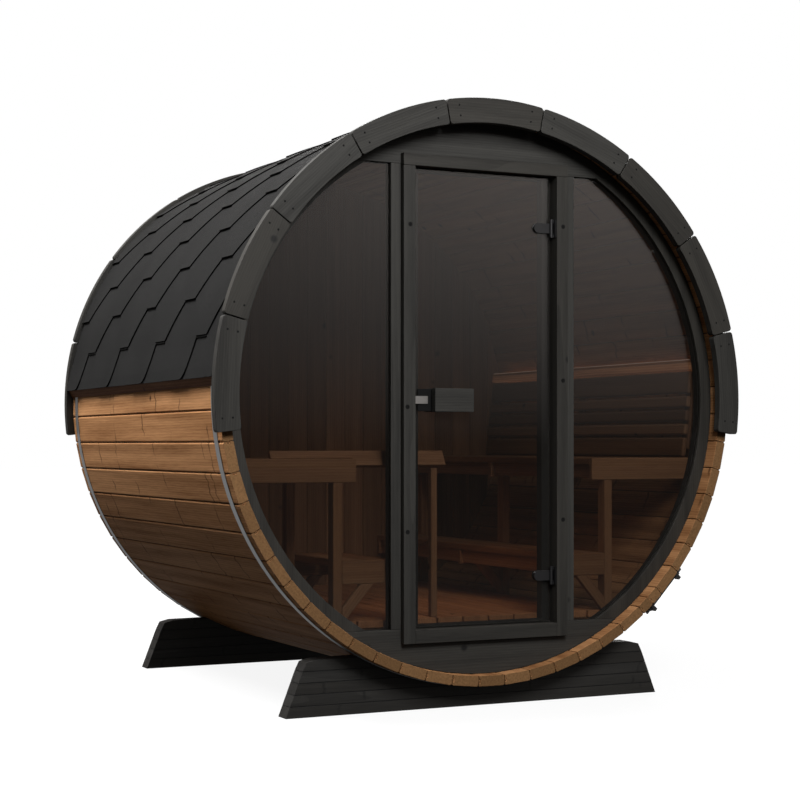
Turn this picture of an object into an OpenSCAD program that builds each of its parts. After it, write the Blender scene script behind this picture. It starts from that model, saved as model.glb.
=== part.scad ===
// Barrel sauna: a round timber cabin lying on two stacked-board cradles, with a shingled upper half,
// segmented fascia boards round both ends, a glazed front wall with a hinged glass door, and benches inside.
// Millimetres, +Z up, the front faces -Y, and the origin is on the ground under the middle of the barrel.

/* [Barrel] */
// Radius of the barrel over the outer corners of the staves
barrel_r = 1000; // [960:5:1060]
// Length of the staves
barrel_len = 1708; // [1600:2:2400]
// Height of the barrel's underside above the ground
ground_gap = 75; // [60:5:110]
// Staves round the barrel
stave_count = 60; // [56:4:64]
// Thickness of a stave
stave_t = 38; // [34:1:42]
// Bevel along the outer edges of a stave
stave_bevel = 5; // [2:0.5:7]

/* [Cradles] */
// Height of a cradle
cradle_h = 192; // [170:2:210]
// Thickness of a cradle along the barrel
cradle_t = 67; // [50:1:100]
// Length of a cradle along the ground
cradle_len = 1470; // [1380:10:1600]
// How much shorter a cradle is at its top, at each end
cradle_rake = 75; // [40:5:100]
// Stacked boards in a cradle
cradle_boards = 5; // [5:1:5]
// Distance of a cradle from the stave ends
cradle_inset = 83; // [80:1:300]

/* [Roof and fascia] */
// Radial width of the fascia boards
fascia_w = 86; // [70:1:100]
// Thickness of the fascia boards
fascia_t = 31; // [22:1:40]
// Height of the fascia's rim above the stave corners
fascia_rise = 27; // [22:1:35]
// Fascia boards round each end
fascia_boards = 9; // [7:2:11]
// How far the fascia runs below the level of the barrel's axis, in degrees
fascia_drop = 7.2; // [0:0.2:12]
// Angle of the eave's lower edge above the level of the axis
eave_angle = 3.4; // [2:0.2:6]
// Shingle courses on each side of the ridge
course_count = 11; // [9:1:13]

/* [Front wall] */
// Recess of the front wall behind the stave ends
wall_recess = 50; // [40:1:80]
// Thickness of the front wall
wall_t = 45; // [36:1:60]
// Radial width of the curved frame round the windows
ring_w = 46; // [36:1:60]
// Half the height of the windows
window_half_h = 793; // [740:1:810]
// Thickness of the glass
glass_t = 8; // [6:1:10]

/* [Door] */
// Width of the doorway between the jambs
doorway_w = 560; // [520:5:600]
// Visible width of a jamb
jamb_w = 45; // [35:1:55]
// Width of the fixed post beside a jamb
post_w = 38; // [30:1:50]
// Level of the door frame's top above the axis
frame_top = 827; // [810:1:830]
// Depth of the door frame's foot below the axis
frame_foot = 842; // [830:1:850]
// Level of the upper hinge above the axis
hinge_up = 603; // [500:1:680]
// Depth of the lower hinge below the axis
hinge_low = 628; // [500:1:680]

/* [Inside] */
// Depth of the floor below the axis
floor_drop = 765; // [740:1:790]
// Depth of the bench seats below the axis
seat_drop = 212; // [180:1:260]
// Distance of a seat's inner edge from the middle of the aisle
seat_edge = 470; // [440:5:520]
// Depth of the lower step below the axis
step_drop = 557; // [520:1:590]
// Distance of a step's inner edge from the middle of the aisle
step_edge = 330; // [330:5:380]
// Distance of the short left bench's far end from the stave ends
left_bench_end = 552; // [480:2:700]

/* [Hidden] */
$fn = 360;

black_wood = "#2a2a2b";
brown_wood = "#8a5b37";
shingle_grey = "#38393b";
steel = "#9ea1a3";
black_metal = "#1d1d1e";
tinted_glass = [0.25, 0.2, 0.17, 0.5];
lamp_white = "#ffd9a0";

// Working gap between pieces that lie against each other
gap = 0.3;
axis_z = ground_gap + barrel_r;
front_y = -barrel_len / 2;
stave_pitch = 360 / stave_count;
// Radius of the round pieces that stand inside the flat inner faces of the staves
lining_r = barrel_r * cos(stave_pitch / 2) - stave_t - 2 * gap;
window_r = lining_r - ring_w;

// Tongue and groove of a stave, half its thickness and its length
tongue_half = 5;
tongue_len = 6.5;
inner_bevel = 3;

// Chamfer at the top corners of a cradle, along it and down
cradle_chamfer = [38, 9];

band_w = 34;
band_t = 1.3;
band_inset = 40;
band_out = barrel_r + gap + band_t;
// Angle of the tensioner's middle and the distance of its lugs from there along the rod
tensioner_angle = -42.95;
lug_reach = 76.5;

// Radius of the roof's underside and of the two edges of a shingle course
roof_in = band_out + 0.6;
course_low = barrel_r + 12;
course_high = barrel_r + 7.5;
course_pitch = (90 - eave_angle) / course_count;
eave_tip = barrel_r + fascia_rise;
shingle_t = 4.6;

fascia_out = barrel_r + fascia_rise;
fascia_span = (180 + 2 * fascia_drop) / fascia_boards;
fascia_gap = 3.5;
fascia_corner = 11;

jamb_in = doorway_w / 2;
jamb_out = jamb_in + jamb_w;
post_out = jamb_out + post_w;
wall_back = wall_recess + wall_t;
frame_front = wall_recess - 22;
frame_back = wall_back + 17;
head_low = frame_top - 41;
threshold_top = -frame_foot + 47;
glass_front = wall_recess + 12;
glass_back = glass_front + glass_t;
// Depth of the groove that holds a window's edge
glazing_depth = 8;
stop_front = glass_back + 8;
// Width of the stop strips beside the door, and of those over and under it
stop_w = 34;
level_stop_w = 12;

pivot_x = jamb_in - 10;
pivot_y = wall_recess + 2;
pin_r = 4;
knuckle_r = 6;
knuckle_half = 18.5;
leaf_half = 32;
// Thickness of the handle's backing plate on the glass
plate_t = 5;

room_front = wall_back + 3;
room_back = barrel_len - wall_recess - stave_t;
floor_t = 26;
rail_t = 22;
slat_t = 24;
leg_x = 523;
leg_w = 33;
leg_d = 45;
// Set-back of the long aprons behind the edges of the seat and the step
apron_back = 12;
// Places of the cross rails along the right bench, which fills the room's length, and the short left one
right_rails = [room_front, (room_front + room_back - rail_t) / 2, room_back - rail_t - 3];
left_rails = [room_front, left_bench_end - rail_t];
lean = 6.57;
back_foot_x = 866;

// A point at an angle round the barrel's axis, at radius r and a distance t along the tangent there
function round_at(a, r, t = 0) = [r * cos(a) - t * sin(a), r * sin(a) + t * cos(a)];

// Points along an arc about a centre from angle p0 to p1 in n steps, without its last point
function arc_points(centre, r, p0, p1, n) =
    [for (i = [0 : n - 1]) let (p = p0 + (p1 - p0) * i / n) centre + r * [cos(p), sin(p)]];

// Cross-section of a stave between the joints at angles a0 and a1.
// It has bevelled flat faces, a groove at a0 and a tongue at a1.
function stave_outline(a0, a1) =
    let (h = (a1 - a0) / 2, g = gap / 2, r_in = barrel_r - stave_t / cos(h), mid = barrel_r - stave_t / 2,
         groove_half = tongue_half + 0.4, groove_len = tongue_len + 0.7)
    [round_at(a0, r_in + inner_bevel, g),
     round_at(a0, mid - groove_half, g),
     round_at(a0, mid - groove_half, groove_len),
     round_at(a0, mid + groove_half, groove_len),
     round_at(a0, mid + groove_half, g),
     round_at(a0, barrel_r - stave_bevel, g),
     round_at(a0, barrel_r - stave_bevel * sin(h), stave_bevel * cos(h)),
     round_at(a1, barrel_r - stave_bevel * sin(h), -stave_bevel * cos(h)),
     round_at(a1, barrel_r - stave_bevel, -g),
     round_at(a1, mid + tongue_half, -g),
     round_at(a1, mid + tongue_half, tongue_len),
     round_at(a1, mid - tongue_half, tongue_len),
     round_at(a1, mid - tongue_half, -g),
     round_at(a1, r_in + inner_bevel, -g),
     round_at(a1, r_in + inner_bevel * sin(h), -inner_bevel * cos(h)),
     round_at(a0, r_in + inner_bevel * sin(h), inner_bevel * cos(h))];

// Moves the origin to the barrel's axis at the front ends of the staves
module at_barrel() {
    translate([0, front_y, axis_z]) children();
}

// Turns solids that stand on the XY plane so that they run from y to y + len along the barrel
module lay_along(y, len) {
    translate([0, y + len, 0]) rotate([90, 0, 0]) children();
}

// Extrudes an outline drawn across the barrel, from y over a length
module along(y, len) {
    lay_along(y, len) linear_extrude(len) children();
}

// A box between two limits on each axis
module block(x, y, z) {
    translate([x[0], y[0], z[0]]) cube([x[1] - x[0], y[1] - y[0], z[1] - z[0]]);
}

// The right-hand piece, or its mirror image on the left
module sided(side) {
    if (side < 0) mirror([1, 0, 0]) children();
    else children();
}

// A curved block between two radii and two angles
module arc_block(r0, r1, a0, a1, h) {
    rotate([0, 0, a0]) rotate_extrude(angle = a1 - a0) translate([r0, 0]) square([r1 - r0, h]);
}

module cradle(y) {
    board_h = cradle_h / cradle_boards;
    base = -axis_z;
    color(black_wood) at_barrel() for (i = [0 : cradle_boards - 1]) {
        low = i * board_h;
        high = low + board_h - (i < cradle_boards - 1 ? gap : 0);
        half_low = cradle_len / 2 - cradle_rake * low / cradle_h;
        half_high = cradle_len / 2 - cradle_rake * high / cradle_h;
        cut = i == cradle_boards - 1 ? cradle_chamfer : [gap, gap];
        difference() {
            along(y, cradle_t) polygon([[-half_low, base + low], [half_low, base + low],
                                        [half_high, base + high - cut[1]], [half_high - cut[0], base + high],
                                        [cut[0] - half_high, base + high], [-half_high, base + high - cut[1]]]);
            lay_along(y - 1, cradle_t + 2) cylinder(r = barrel_r + 2 * gap, h = cradle_t + 2);
        }
    }
}

module cradle_front() {
    cradle(cradle_inset);
}

module cradle_rear() {
    cradle(barrel_len - cradle_inset - cradle_t);
}

// A quarter of the barrel: its staves from the angle a_start on.
// The last one is split in two where it closes the ring.
module staves(a_start, split_last = false) {
    count = stave_count / 4;
    color(brown_wood) at_barrel() along(0, barrel_len) for (i = [0 : count - 1]) {
        a0 = a_start + i * stave_pitch;
        if (split_last && i == count - 1) {
            polygon(stave_outline(a0, a0 + stave_pitch / 2));
            polygon(stave_outline(a0 + stave_pitch / 2, a0 + stave_pitch));
        } else {
            polygon(stave_outline(a0, a0 + stave_pitch));
        }
    }
}

module staves_top() {
    staves(45);
}

module staves_left() {
    staves(135);
}

module staves_bottom() {
    staves(225, true);
}

module staves_right() {
    staves(315);
}

// Two flat steel hoops round the barrel
module hoops() {
    color(steel) at_barrel() for (y = [band_inset, barrel_len - band_inset - band_w]) {
        lay_along(y, band_w) difference() {
            cylinder(r = band_out, h = band_w);
            translate([0, 0, -1]) cylinder(r = barrel_r + gap, h = band_w + 2);
        }
    }
}

// The threaded rod that draws a hoop tight through two lugs, with a nut outside each lug
module tensioner() {
    lug_t = 12;
    lug_w = 26;
    lug_out = barrel_r + 46;
    rod_x = barrel_r + 29;
    rod_r = 5;
    nut_r = 10;
    rod_half = lug_reach + 32;
    for (s = [-1, 1]) {
        translate([barrel_r - 0.6, s * lug_reach - lug_t / 2, (band_w - lug_w) / 2])
            cube([lug_out - barrel_r + 0.6, lug_t, lug_w]);
        translate([rod_x, s * (lug_reach + lug_t / 2 + 4), band_w / 2])
            rotate([90, 0, 0]) cylinder(r = nut_r, h = 8, center = true, $fn = 6);
    }
    translate([rod_x, 0, band_w / 2]) rotate([90, 0, 0]) cylinder(r = rod_r, h = 2 * rod_half, center = true);
}

module hoop_tensioners() {
    color(steel) at_barrel() for (y = [band_inset, barrel_len - band_inset - band_w]) {
        lay_along(y, band_w) rotate([0, 0, tensioner_angle]) tensioner();
    }
}

// Wedge-shaped battens that throw the eaves clear of the wall
module eave_battens() {
    color(brown_wood) at_barrel() for (side = [-1, 1]) sided(side) difference() {
        along(0, barrel_len) polygon([round_at(eave_angle - 2, roof_in - 1),
                                      round_at(eave_angle, eave_tip - shingle_t - gap),
                                      round_at(eave_angle + 6.4, roof_in + 1.5),
                                      round_at(eave_angle + 6.4, roof_in - 4)]);
        lay_along(-1, barrel_len + 2) cylinder(r = roof_in, h = barrel_len + 2);
    }
}

// One slope of the roof: overlapping shingle courses, each thicker at its lower edge.
// The first course lies on the batten.
module roof_slope(side) {
    color(shingle_grey) at_barrel() sided(side) for (i = [0 : course_count - 1]) {
        a0 = eave_angle + i * course_pitch;
        a1 = a0 + course_pitch - 0.03;
        low = i == 0 ? eave_tip : course_low;
        low_in = i == 0 ? eave_tip - shingle_t : roof_in - 1;
        difference() {
            along(0, barrel_len)
                polygon([round_at(a0, low_in), round_at(a0, low), round_at(a1, course_high),
                         round_at(a1, roof_in + (i == 0 ? 1 : -4))]);
            lay_along(-1, barrel_len + 2) cylinder(r = roof_in, h = barrel_len + 2);
        }
    }
}

module roof_left() {
    roof_slope(-1);
}

module roof_right() {
    roof_slope(1);
}

// Shingle cap along the top of the roof
module roof_ridge() {
    color(shingle_grey) at_barrel() lay_along(0, barrel_len)
        arc_block(course_low + gap, course_low + shingle_t, 84.5, 95.5, barrel_len);
}

// Outline of a fascia board between two angles: two long arcs joined by straight ends with rounded corners
function fascia_outline(a0, a1) =
    let (c = fascia_corner, r_in = fascia_out - fascia_w,
         turn_in = asin(c / (r_in + c)), turn_out = asin(c / (fascia_out - c)))
    concat(arc_points([0, 0], fascia_out, a0 + turn_out, a1 - turn_out, 16),
           arc_points(round_at(a1 - turn_out, fascia_out - c), c, a1 - turn_out, a1 + 90, 6),
           arc_points(round_at(a1 - turn_in, r_in + c), c, a1 + 90, a1 - turn_in + 180, 6),
           arc_points([0, 0], r_in, a1 - turn_in, a0 + turn_in, 16),
           arc_points(round_at(a0 + turn_in, r_in + c), c, a0 + turn_in + 180, a0 + 270, 6),
           arc_points(round_at(a0 + turn_out, fascia_out - c), c, a0 + 270, a0 + turn_out + 360, 6));

module fascia(y) {
    joint = fascia_gap / fascia_out * 90 / PI;
    color(black_wood) at_barrel() along(y, fascia_t) for (i = [0 : fascia_boards - 1]) {
        a0 = -fascia_drop + i * fascia_span;
        polygon(fascia_outline(a0 + joint, a0 + fascia_span - joint));
    }
}

module fascia_front() {
    fascia(-fascia_t);
}

module fascia_rear() {
    fascia(barrel_len);
}

// A side window's sheet, or with extra the groove that takes its edges
module window_sheet(extra = 0) {
    intersection() {
        lay_along(glass_front - extra, glass_t + 2 * extra)
            cylinder(r = window_r + glazing_depth + extra, h = glass_t + 2 * extra);
        block([post_out - glazing_depth - extra, barrel_r], [0, barrel_r],
              [-window_half_h - glazing_depth - extra, window_half_h + glazing_depth + extra]);
    }
}

module window(side) {
    color(tinted_glass) at_barrel() sided(side) window_sheet();
}

module window_left() {
    window(-1);
}

module window_right() {
    window(1);
}

// Curved frame round the outer edge of a side window
module front_ring(side) {
    color(black_wood) at_barrel() sided(side) difference() {
        intersection() {
            lay_along(wall_recess, wall_t) difference() {
                cylinder(r = lining_r, h = wall_t);
                translate([0, 0, -1]) cylinder(r = window_r, h = wall_t + 2);
            }
            block([post_out, barrel_r], [0, barrel_r], [-window_half_h + gap, window_half_h - gap]);
        }
        window_sheet(gap);
    }
}

module front_ring_left() {
    front_ring(-1);
}

module front_ring_right() {
    front_ring(1);
}

// Boarded panel above (side 1) or below (side -1) the windows, notched for the door frame
module wall_panel(side) {
    notch = side > 0 ? frame_top : frame_foot;
    color(black_wood) at_barrel() difference() {
        lay_along(wall_recess, wall_t) cylinder(r = lining_r, h = wall_t);
        block([-barrel_r, barrel_r], [0, barrel_r],
              side > 0 ? [-barrel_r, window_half_h] : [-window_half_h, barrel_r]);
        block([-jamb_out - gap, jamb_out + gap], [0, barrel_r],
              side > 0 ? [0, notch + gap] : [-notch - gap, 0]);
        for (s = [-1, 1]) sided(s) window_sheet(gap);
    }
}

module header_panel() {
    wall_panel(1);
}

module sill_panel() {
    wall_panel(-1);
}

// Fixed posts between the door frame and the side windows
module window_posts() {
    color(black_wood) at_barrel() for (side = [-1, 1]) sided(side) difference() {
        block([jamb_out + gap, post_out], [wall_recess, wall_back],
              [-window_half_h + gap, window_half_h - gap]);
        window_sheet(gap);
    }
}

module door_jamb(side) {
    color(black_wood) at_barrel() sided(side)
        block([jamb_in, jamb_out], [frame_front, frame_back], [-frame_foot, head_low - gap]);
}

module door_jamb_left() {
    door_jamb(-1);
}

module door_jamb_right() {
    door_jamb(1);
}

// Head of the door frame, lying across both jambs
module door_head() {
    color(black_wood) at_barrel()
        block([-jamb_out, jamb_out], [frame_front, frame_back], [head_low, frame_top]);
}

module door_threshold() {
    color(black_wood) at_barrel()
        block([-jamb_in + gap, jamb_in - gap], [frame_front, frame_back], [-frame_foot, threshold_top]);
}

// Strips round the doorway that the closed door stands in front of
module door_stop() {
    inner = jamb_in - gap;
    low = threshold_top + gap;
    high = head_low - gap;
    color(black_wood) at_barrel() {
        for (s = [-1, 1]) sided(s)
            block([inner - stop_w, inner], [stop_front, frame_back], [low, high]);
        for (z = [low, high - level_stop_w])
            block([-inner + stop_w + gap, inner - stop_w - gap], [stop_front, frame_back],
                  [z, z + level_stop_w]);
    }
}

module rear_wall() {
    color(brown_wood) at_barrel() lay_along(room_back, stave_t) cylinder(r = lining_r, h = stave_t);
}

// Loose boards along the aisle and under the benches
module floor_boards() {
    board_w = 96;
    count = 11;
    pitch = board_w + 6;
    half = sqrt(pow(lining_r, 2) - pow(floor_drop + floor_t, 2)) - 3;
    color(brown_wood) at_barrel() for (i = [0 : count - 1]) {
        x = (i - (count - 1) / 2) * pitch;
        block([max(x - board_w / 2, -half), min(x + board_w / 2, half)], [frame_back + 1, room_back - 3],
              [-floor_drop - floor_t, -floor_drop]);
    }
}

// Bearers shaped to the barrel that carry the floor
module floor_bearers() {
    bearer_t = 45;
    bearer_half = 480;
    top = -floor_drop - floor_t - gap;
    color(brown_wood) at_barrel() for (y = [frame_back + 8, barrel_len / 2, room_back - 4]) {
        lay_along(y - (y > barrel_len / 2 ? bearer_t : 0), bearer_t) linear_extrude(bearer_t) intersection() {
            circle(r = lining_r);
            translate([-bearer_half, -barrel_r]) square([2 * bearer_half, barrel_r + top]);
        }
    }
}

// Seat slats along the barrel, held between the end rails
module bench_seat(side, rails) {
    slat_count = 4;
    slat_w = 86;
    slat_gap = 12;
    color(brown_wood) at_barrel() sided(side) for (i = [0 : slat_count - 1]) {
        x = seat_edge + i * (slat_w + slat_gap);
        block([x, x + slat_w], [room_front + rail_t + gap, rails[len(rails) - 1] - gap],
              [-seat_drop - slat_t, -seat_drop]);
    }
}

module bench_seat_left() {
    bench_seat(-1, left_rails);
}

module bench_seat_right() {
    bench_seat(1, right_rails);
}

// Cross rails from the aisle to the wall with a leg under each, and a long rail under the seat's inner edge
module bench_frame(side, rails) {
    last = len(rails) - 1;
    rail_h = 80;
    rail_out = 905;
    under_seat = -seat_drop - slat_t - gap;
    rail_low = -seat_drop - rail_h;
    color(brown_wood) at_barrel() sided(side) {
        for (i = [0 : last]) {
            y = rails[i];
            leg_y = i == last ? y + rail_t - leg_d : y;
            block([seat_edge, rail_out], [y, y + rail_t],
                  [rail_low, i > 0 && i < last ? under_seat : -seat_drop]);
            block([leg_x, leg_x + leg_w], [leg_y, leg_y + leg_d], [-floor_drop + gap, rail_low - gap]);
        }
        for (i = [1 : last])
            block([seat_edge + apron_back, seat_edge + apron_back + rail_t],
                  [rails[i - 1] + rail_t + gap, rails[i] - gap], [rail_low + 6, under_seat]);
    }
}

module bench_frame_left() {
    bench_frame(-1, left_rails);
}

module bench_frame_right() {
    bench_frame(1, right_rails);
}

// Lower step: two slats on arms that stand out from the legs, with slanting braces and a long apron.
// A brace's top is given by its distances from the leg, and its foot by its reach on the floor and up the leg.
module foot_step(side, rails) {
    last = len(rails) - 1;
    arm_h = 80;
    slat_w = (leg_x - gap - step_edge - 8) / 2;
    brace_top = [70, 119];
    brace_foot = [8, 47];
    arm_low = -step_drop - arm_h;
    color(brown_wood) at_barrel() sided(side) {
        for (i = [0 : 1]) {
            x = step_edge + i * (slat_w + 8);
            block([x, x + slat_w], [room_front + rail_t + gap, rails[last] - gap],
                  [-step_drop - slat_t, -step_drop]);
        }
        for (i = [0 : last]) {
            y = rails[i];
            block([step_edge, leg_x - gap], [y, y + rail_t],
                  [arm_low, i > 0 && i < last ? -step_drop - slat_t - gap : -step_drop]);
            along(y, rail_t)
                polygon([[leg_x - brace_top[1], arm_low - gap], [leg_x - brace_top[0], arm_low - gap],
                         [leg_x - gap, -floor_drop + brace_foot[1]], [leg_x - gap, -floor_drop + gap],
                         [leg_x - brace_foot[0], -floor_drop + gap]]);
        }
        for (i = [1 : last])
            block([step_edge + apron_back, step_edge + apron_back + rail_t],
                  [rails[i - 1] + rail_t + gap, rails[i] - gap],
                  [arm_low + 6, -step_drop - slat_t - gap]);
    }
}

module step_left() {
    foot_step(-1, left_rails);
}

module step_right() {
    foot_step(1, right_rails);
}

// A board's section in the leaning plane of a backrest, between two levels, with its face set back by depth
module leaning_board(z0, z1, depth, t, y, len) {
    translate([back_foot_x, 0, -seat_drop - 8]) rotate([0, lean, 0])
        block([depth, depth + t], [y, y + len], [z0, z1]);
}

// Backrest: a wide slat at the foot and the top with narrow ones between, on three leaning battens
module backrest() {
    wide = 84;
    narrow = 42;
    space = 10;
    t = 20;
    batten_w = 45;
    // Height cut off the lowest slat so that it clears the bench's end rails
    foot_trim = 12;
    heights = [wide, narrow, narrow, narrow, wide];
    feet = [0, wide + space, wide + narrow + 2 * space, wide + 2 * narrow + 3 * space,
            wide + 3 * narrow + 4 * space];
    color(brown_wood) at_barrel() {
        for (i = [0 : 4])
            leaning_board(feet[i] + (i == 0 ? foot_trim : 0), feet[i] + heights[i], 0, t,
                          room_front + 6, room_back - room_front - 12);
        for (y = [right_rails[0] + 8, right_rails[1] + 8, room_back - 8 - batten_w])
            leaning_board(40, 325, t + gap, 18, y, batten_w);
    }
}

// Leaning rail from the left bench across part of the entry, on a post by the door
module guard_rail() {
    rail_left = -765;
    rail_right = -112;
    post_x = -168;
    post_side = 24;
    rail_y = 126;
    tilt = 30;
    rail_w = 58;
    rail_d = 20;
    low = -234;
    post_y = rail_y + 6;
    color(brown_wood) at_barrel() {
        difference() {
            translate([0, rail_y, low]) rotate([-tilt, 0, 0])
                block([rail_left, rail_right], [0, rail_d], [0, rail_w]);
            block([-barrel_r, -seat_edge + 4], [0, barrel_r], [-barrel_r, -seat_drop + gap]);
        }
        block([post_x, post_x + post_side], [post_y, post_y + post_side], [-floor_drop + gap, low - 12]);
    }
}

// Board above the backrest that hides the lamp
module light_valance() {
    color(brown_wood) at_barrel()
        leaning_board(338, 376, -4, 20, room_front + 6, room_back - room_front - 12);
}

// Slim lamp along the wall behind the valance
module light_strip() {
    color(lamp_white) at_barrel()
        leaning_board(344, 352, 24, 9, room_front + 60, room_back - room_front - 120);
}

// Fixed hinge leaves on the right jamb, each with its pin and two outer knuckles
module hinge_leaves() {
    plate_in = jamb_in - 3;
    color(black_metal) at_barrel() for (z = [hinge_up, -hinge_low]) translate([0, 0, z]) {
        block([plate_in, jamb_in - gap], [frame_front + 5, glass_back], [-leaf_half, leaf_half]);
        for (foot = [-leaf_half, knuckle_half + 0.5]) {
            knuckle_h = leaf_half - knuckle_half - 0.5;
            translate([pivot_x, pivot_y, foot]) cylinder(r = knuckle_r, h = knuckle_h);
            block([pivot_x, plate_in + 1], [pivot_y - 5, pivot_y + 5], [foot, foot + knuckle_h]);
        }
        translate([pivot_x, pivot_y, -leaf_half]) cylinder(r = pin_r, h = 2 * leaf_half);
    }
}

module door_glass() {
    color(tinted_glass) at_barrel()
        block([-jamb_in + 6, jamb_in - 10], [glass_front, glass_back], [threshold_top + 7, head_low - 6]);
}

// Rounded clamps on the glass, each with the knuckle that turns on the pin
module door_hinge_clamps() {
    plate_in = pivot_x - 68;
    half = 17.5;
    bridge_x = jamb_in - 10 + gap;
    back_t = 3;
    color(black_metal) at_barrel() for (z = [hinge_up, -hinge_low]) translate([0, 0, z]) difference() {
        union() {
            translate([pivot_x, pivot_y, -knuckle_half]) cylinder(r = knuckle_r, h = 2 * knuckle_half);
            for (face = [[pivot_y + 2, glass_front], [glass_back, glass_back + back_t]]) {
                block([plate_in + half, bridge_x + 4], face, [-half, half]);
                translate([plate_in + half, 0, 0]) lay_along(face[0], face[1] - face[0])
                    cylinder(r = half, h = face[1] - face[0]);
            }
            block([bridge_x, bridge_x + 4], [pivot_y + 2, glass_back + back_t], [-half, half]);
        }
        translate([pivot_x, pivot_y, -knuckle_half - 1]) cylinder(r = pin_r + 0.05, h = 2 * knuckle_half + 2);
    }
}

// Block handles outside and inside, on stand-offs from the glass, the outer one over a backing plate
module door_handle() {
    low = -51;
    high = 29;
    mid = (low + high) / 2;
    grip = [-207, -57];
    grip_t = 26;
    plate = [-258, -160];
    stand = 12;
    stand_r = 9;
    color(black_wood) at_barrel() {
        for (y = [glass_front - stand - grip_t, glass_back + stand])
            block(grip, [y, y + grip_t], [low, high]);
        for (x = [-185, -80], y = [glass_front - stand, glass_back])
            translate([x, 0, mid]) lay_along(y, stand) cylinder(r = stand_r, h = stand);
        block(plate, [glass_front - plate_t, glass_front], [low + 2, high - 2]);
    }
}

// Steel strip over the backing plate at the closing edge
module latch_plate() {
    front = glass_front - plate_t - gap;
    color(steel) at_barrel() block([-269, -222], [front - 5, front], [-24, 2]);
}

cradle_front();
cradle_rear();
staves_top();
staves_left();
staves_right();
staves_bottom();
hoops();
hoop_tensioners();
eave_battens();
roof_left();
roof_right();
roof_ridge();
fascia_front();
fascia_rear();
front_ring_left();
front_ring_right();
header_panel();
sill_panel();
window_posts();
door_jamb_left();
door_jamb_right();
door_head();
door_threshold();
door_stop();
window_left();
window_right();
rear_wall();
floor_boards();
floor_bearers();
bench_seat_left();
bench_seat_right();
bench_frame_left();
bench_frame_right();
step_left();
step_right();
backrest();
guard_rail();
light_valance();
light_strip();
hinge_leaves();
door_glass();
door_hinge_clamps();
door_handle();
latch_plate();
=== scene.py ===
import math

import bmesh
import bpy
import numpy as np
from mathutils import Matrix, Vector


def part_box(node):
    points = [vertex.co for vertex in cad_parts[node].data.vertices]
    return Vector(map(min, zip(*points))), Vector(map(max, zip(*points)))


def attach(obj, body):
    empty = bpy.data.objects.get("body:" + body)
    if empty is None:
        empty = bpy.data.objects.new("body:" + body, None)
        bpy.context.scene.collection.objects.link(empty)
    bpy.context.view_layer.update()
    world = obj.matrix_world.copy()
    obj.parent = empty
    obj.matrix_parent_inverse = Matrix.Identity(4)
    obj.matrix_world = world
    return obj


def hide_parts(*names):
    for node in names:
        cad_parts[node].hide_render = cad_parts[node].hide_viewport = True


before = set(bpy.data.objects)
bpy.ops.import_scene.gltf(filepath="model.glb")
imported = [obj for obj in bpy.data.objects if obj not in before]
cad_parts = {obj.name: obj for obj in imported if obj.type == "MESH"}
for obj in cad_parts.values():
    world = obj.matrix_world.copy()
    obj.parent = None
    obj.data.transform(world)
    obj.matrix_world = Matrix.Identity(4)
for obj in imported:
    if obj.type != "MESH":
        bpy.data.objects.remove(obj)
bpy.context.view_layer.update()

# The studio: a pale floor that runs on into a white surround, a broad soft lamp high on the left, weaker
# ones in front and behind, and a level camera at about chest height. Glass and metal mirror a surround
# that brightens upwards from the horizon.
CAMERA_PLACE = (-2.9721, -6.1850, 0.9095)
CAMERA_TURN = -26.16
CAMERA_LENS = 79.35
SENSOR_WIDTH = 36.0
CLIP_END = 200
PICTURE_SIDE = 800
HORIZON_ROW = 445.03
camera_data = bpy.data.cameras.new("camera")
camera_data.sensor_width = SENSOR_WIDTH
camera_data.lens = CAMERA_LENS
camera_data.shift_y = (HORIZON_ROW - PICTURE_SIDE / 2) / PICTURE_SIDE
camera_data.clip_end = CLIP_END
camera = bpy.data.objects.new("camera", camera_data)
camera.location = CAMERA_PLACE
camera.rotation_euler = (math.radians(90), 0, math.radians(CAMERA_TURN))
bpy.context.scene.collection.objects.link(camera)
bpy.context.scene.camera = camera
bpy.context.scene.view_settings.view_transform = "Standard"


def set_inputs(tree, made, inputs):
    """Links each named input of a shader node to a socket, or sets it to a value."""
    for key, value in inputs.items():
        if isinstance(value, bpy.types.NodeSocket):
            tree.links.new(value, made.inputs[key])
        else:
            made.inputs[key].default_value = value


def add_node(tree, kind, inputs=None, **settings):
    """Adds a shader node with its settings and inputs."""
    made = tree.nodes.new(kind)
    for key, value in settings.items():
        setattr(made, key, value)
    set_inputs(tree, made, inputs or {})
    return made


def worked(tree, operation, *values, **settings):
    """One operation of the Math node on sockets or numbers."""
    inputs = dict(enumerate(values))
    return add_node(tree, "ShaderNodeMath", inputs, operation=operation, **settings).outputs[0]


def ranged(tree, value, span, result):
    """Carries a value from one span over to another in a straight line, held at both ends."""
    inputs = {"Value": value, "From Min": span[0], "From Max": span[1],
              "To Min": result[0], "To Max": result[1]}
    return add_node(tree, "ShaderNodeMapRange", inputs).outputs[0]


def blended(tree, share, first, second, blend_type="MIX"):
    """Mixes two colours by a share. A plain colour is given as three numbers."""
    first, second = [(*c, 1) if isinstance(c, tuple) else c for c in (first, second)]
    inputs = {0: share, 6: first, 7: second}
    return add_node(tree, "ShaderNodeMix", inputs, data_type="RGBA", blend_type=blend_type).outputs[2]


def part_of(tree, vector, axis):
    """One coordinate of a vector."""
    return add_node(tree, "ShaderNodeSeparateXYZ", {0: vector}).outputs[axis]


def object_place(tree):
    """The place on a piece, in the frame's metres."""
    return add_node(tree, "ShaderNodeTexCoord").outputs["Object"]


def new_finish(name):
    """A new material with its node tree and its Principled shader."""
    finish = bpy.data.materials.new(name)
    finish.use_nodes = True
    return finish, finish.node_tree, finish.node_tree.nodes["Principled BSDF"]


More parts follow.
